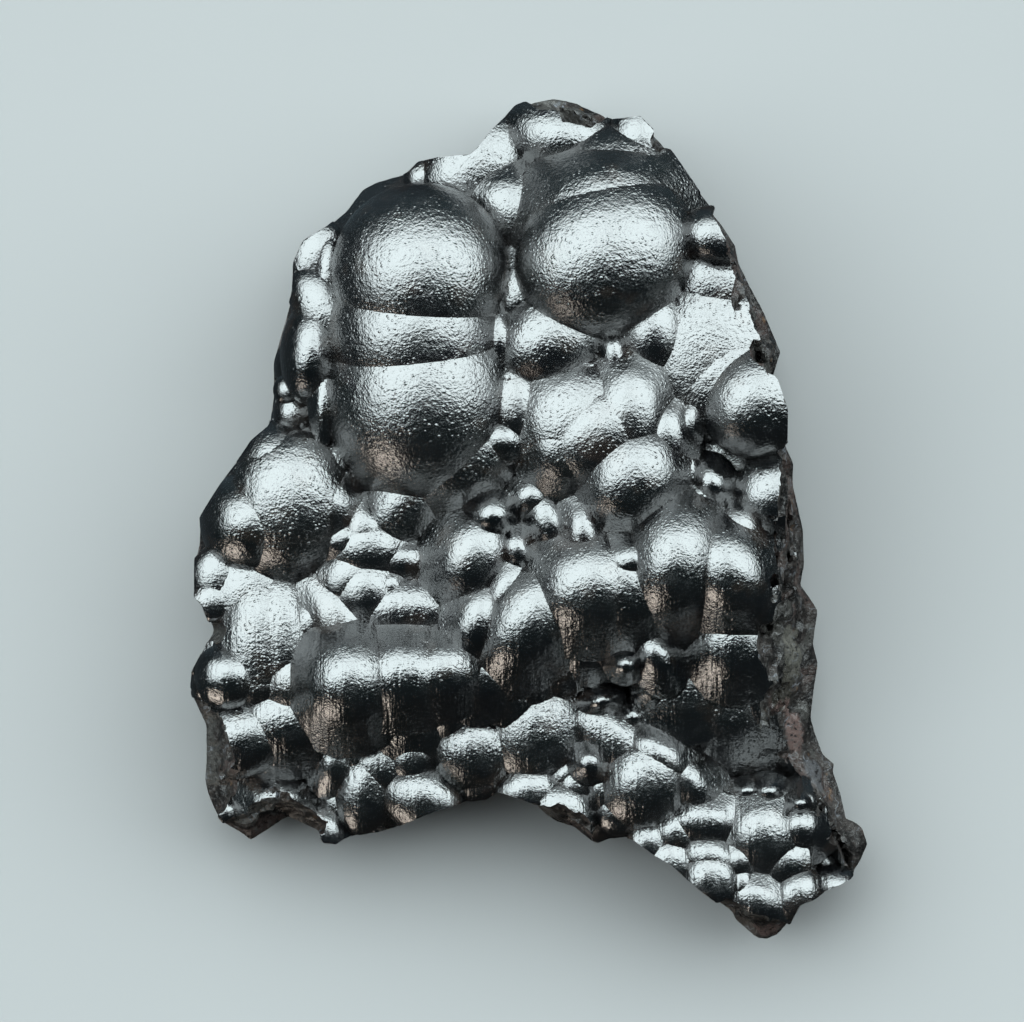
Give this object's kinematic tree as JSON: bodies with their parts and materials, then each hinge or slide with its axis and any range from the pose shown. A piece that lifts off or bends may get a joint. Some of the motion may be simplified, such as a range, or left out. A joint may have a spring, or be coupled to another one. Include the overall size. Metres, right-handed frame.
{
  "type": "goethite specimen",
  "caption": "Hand specimen of botryoidal goethite: a crust of fused dark metallic domes over a broken fibrous edge, lying on its rough flat back.",
  "frame": {"origin": "middle of the specimen's outline, on the plane of the broken back that it rests on", "axes": "+Z out of the domed side, +Y along the specimen towards its narrow end with the two largest domes, +X across it"},
  "size_m": [0.0547, 0.068, 0.0232],
  "materials": {
    "goethite": "submetallic, glossy domes with a fine grain; dull fibrous brown where broken"
  },
  "bodies": {
    "root": {"goethite": "goethite"}
  },
  "joints": []
}
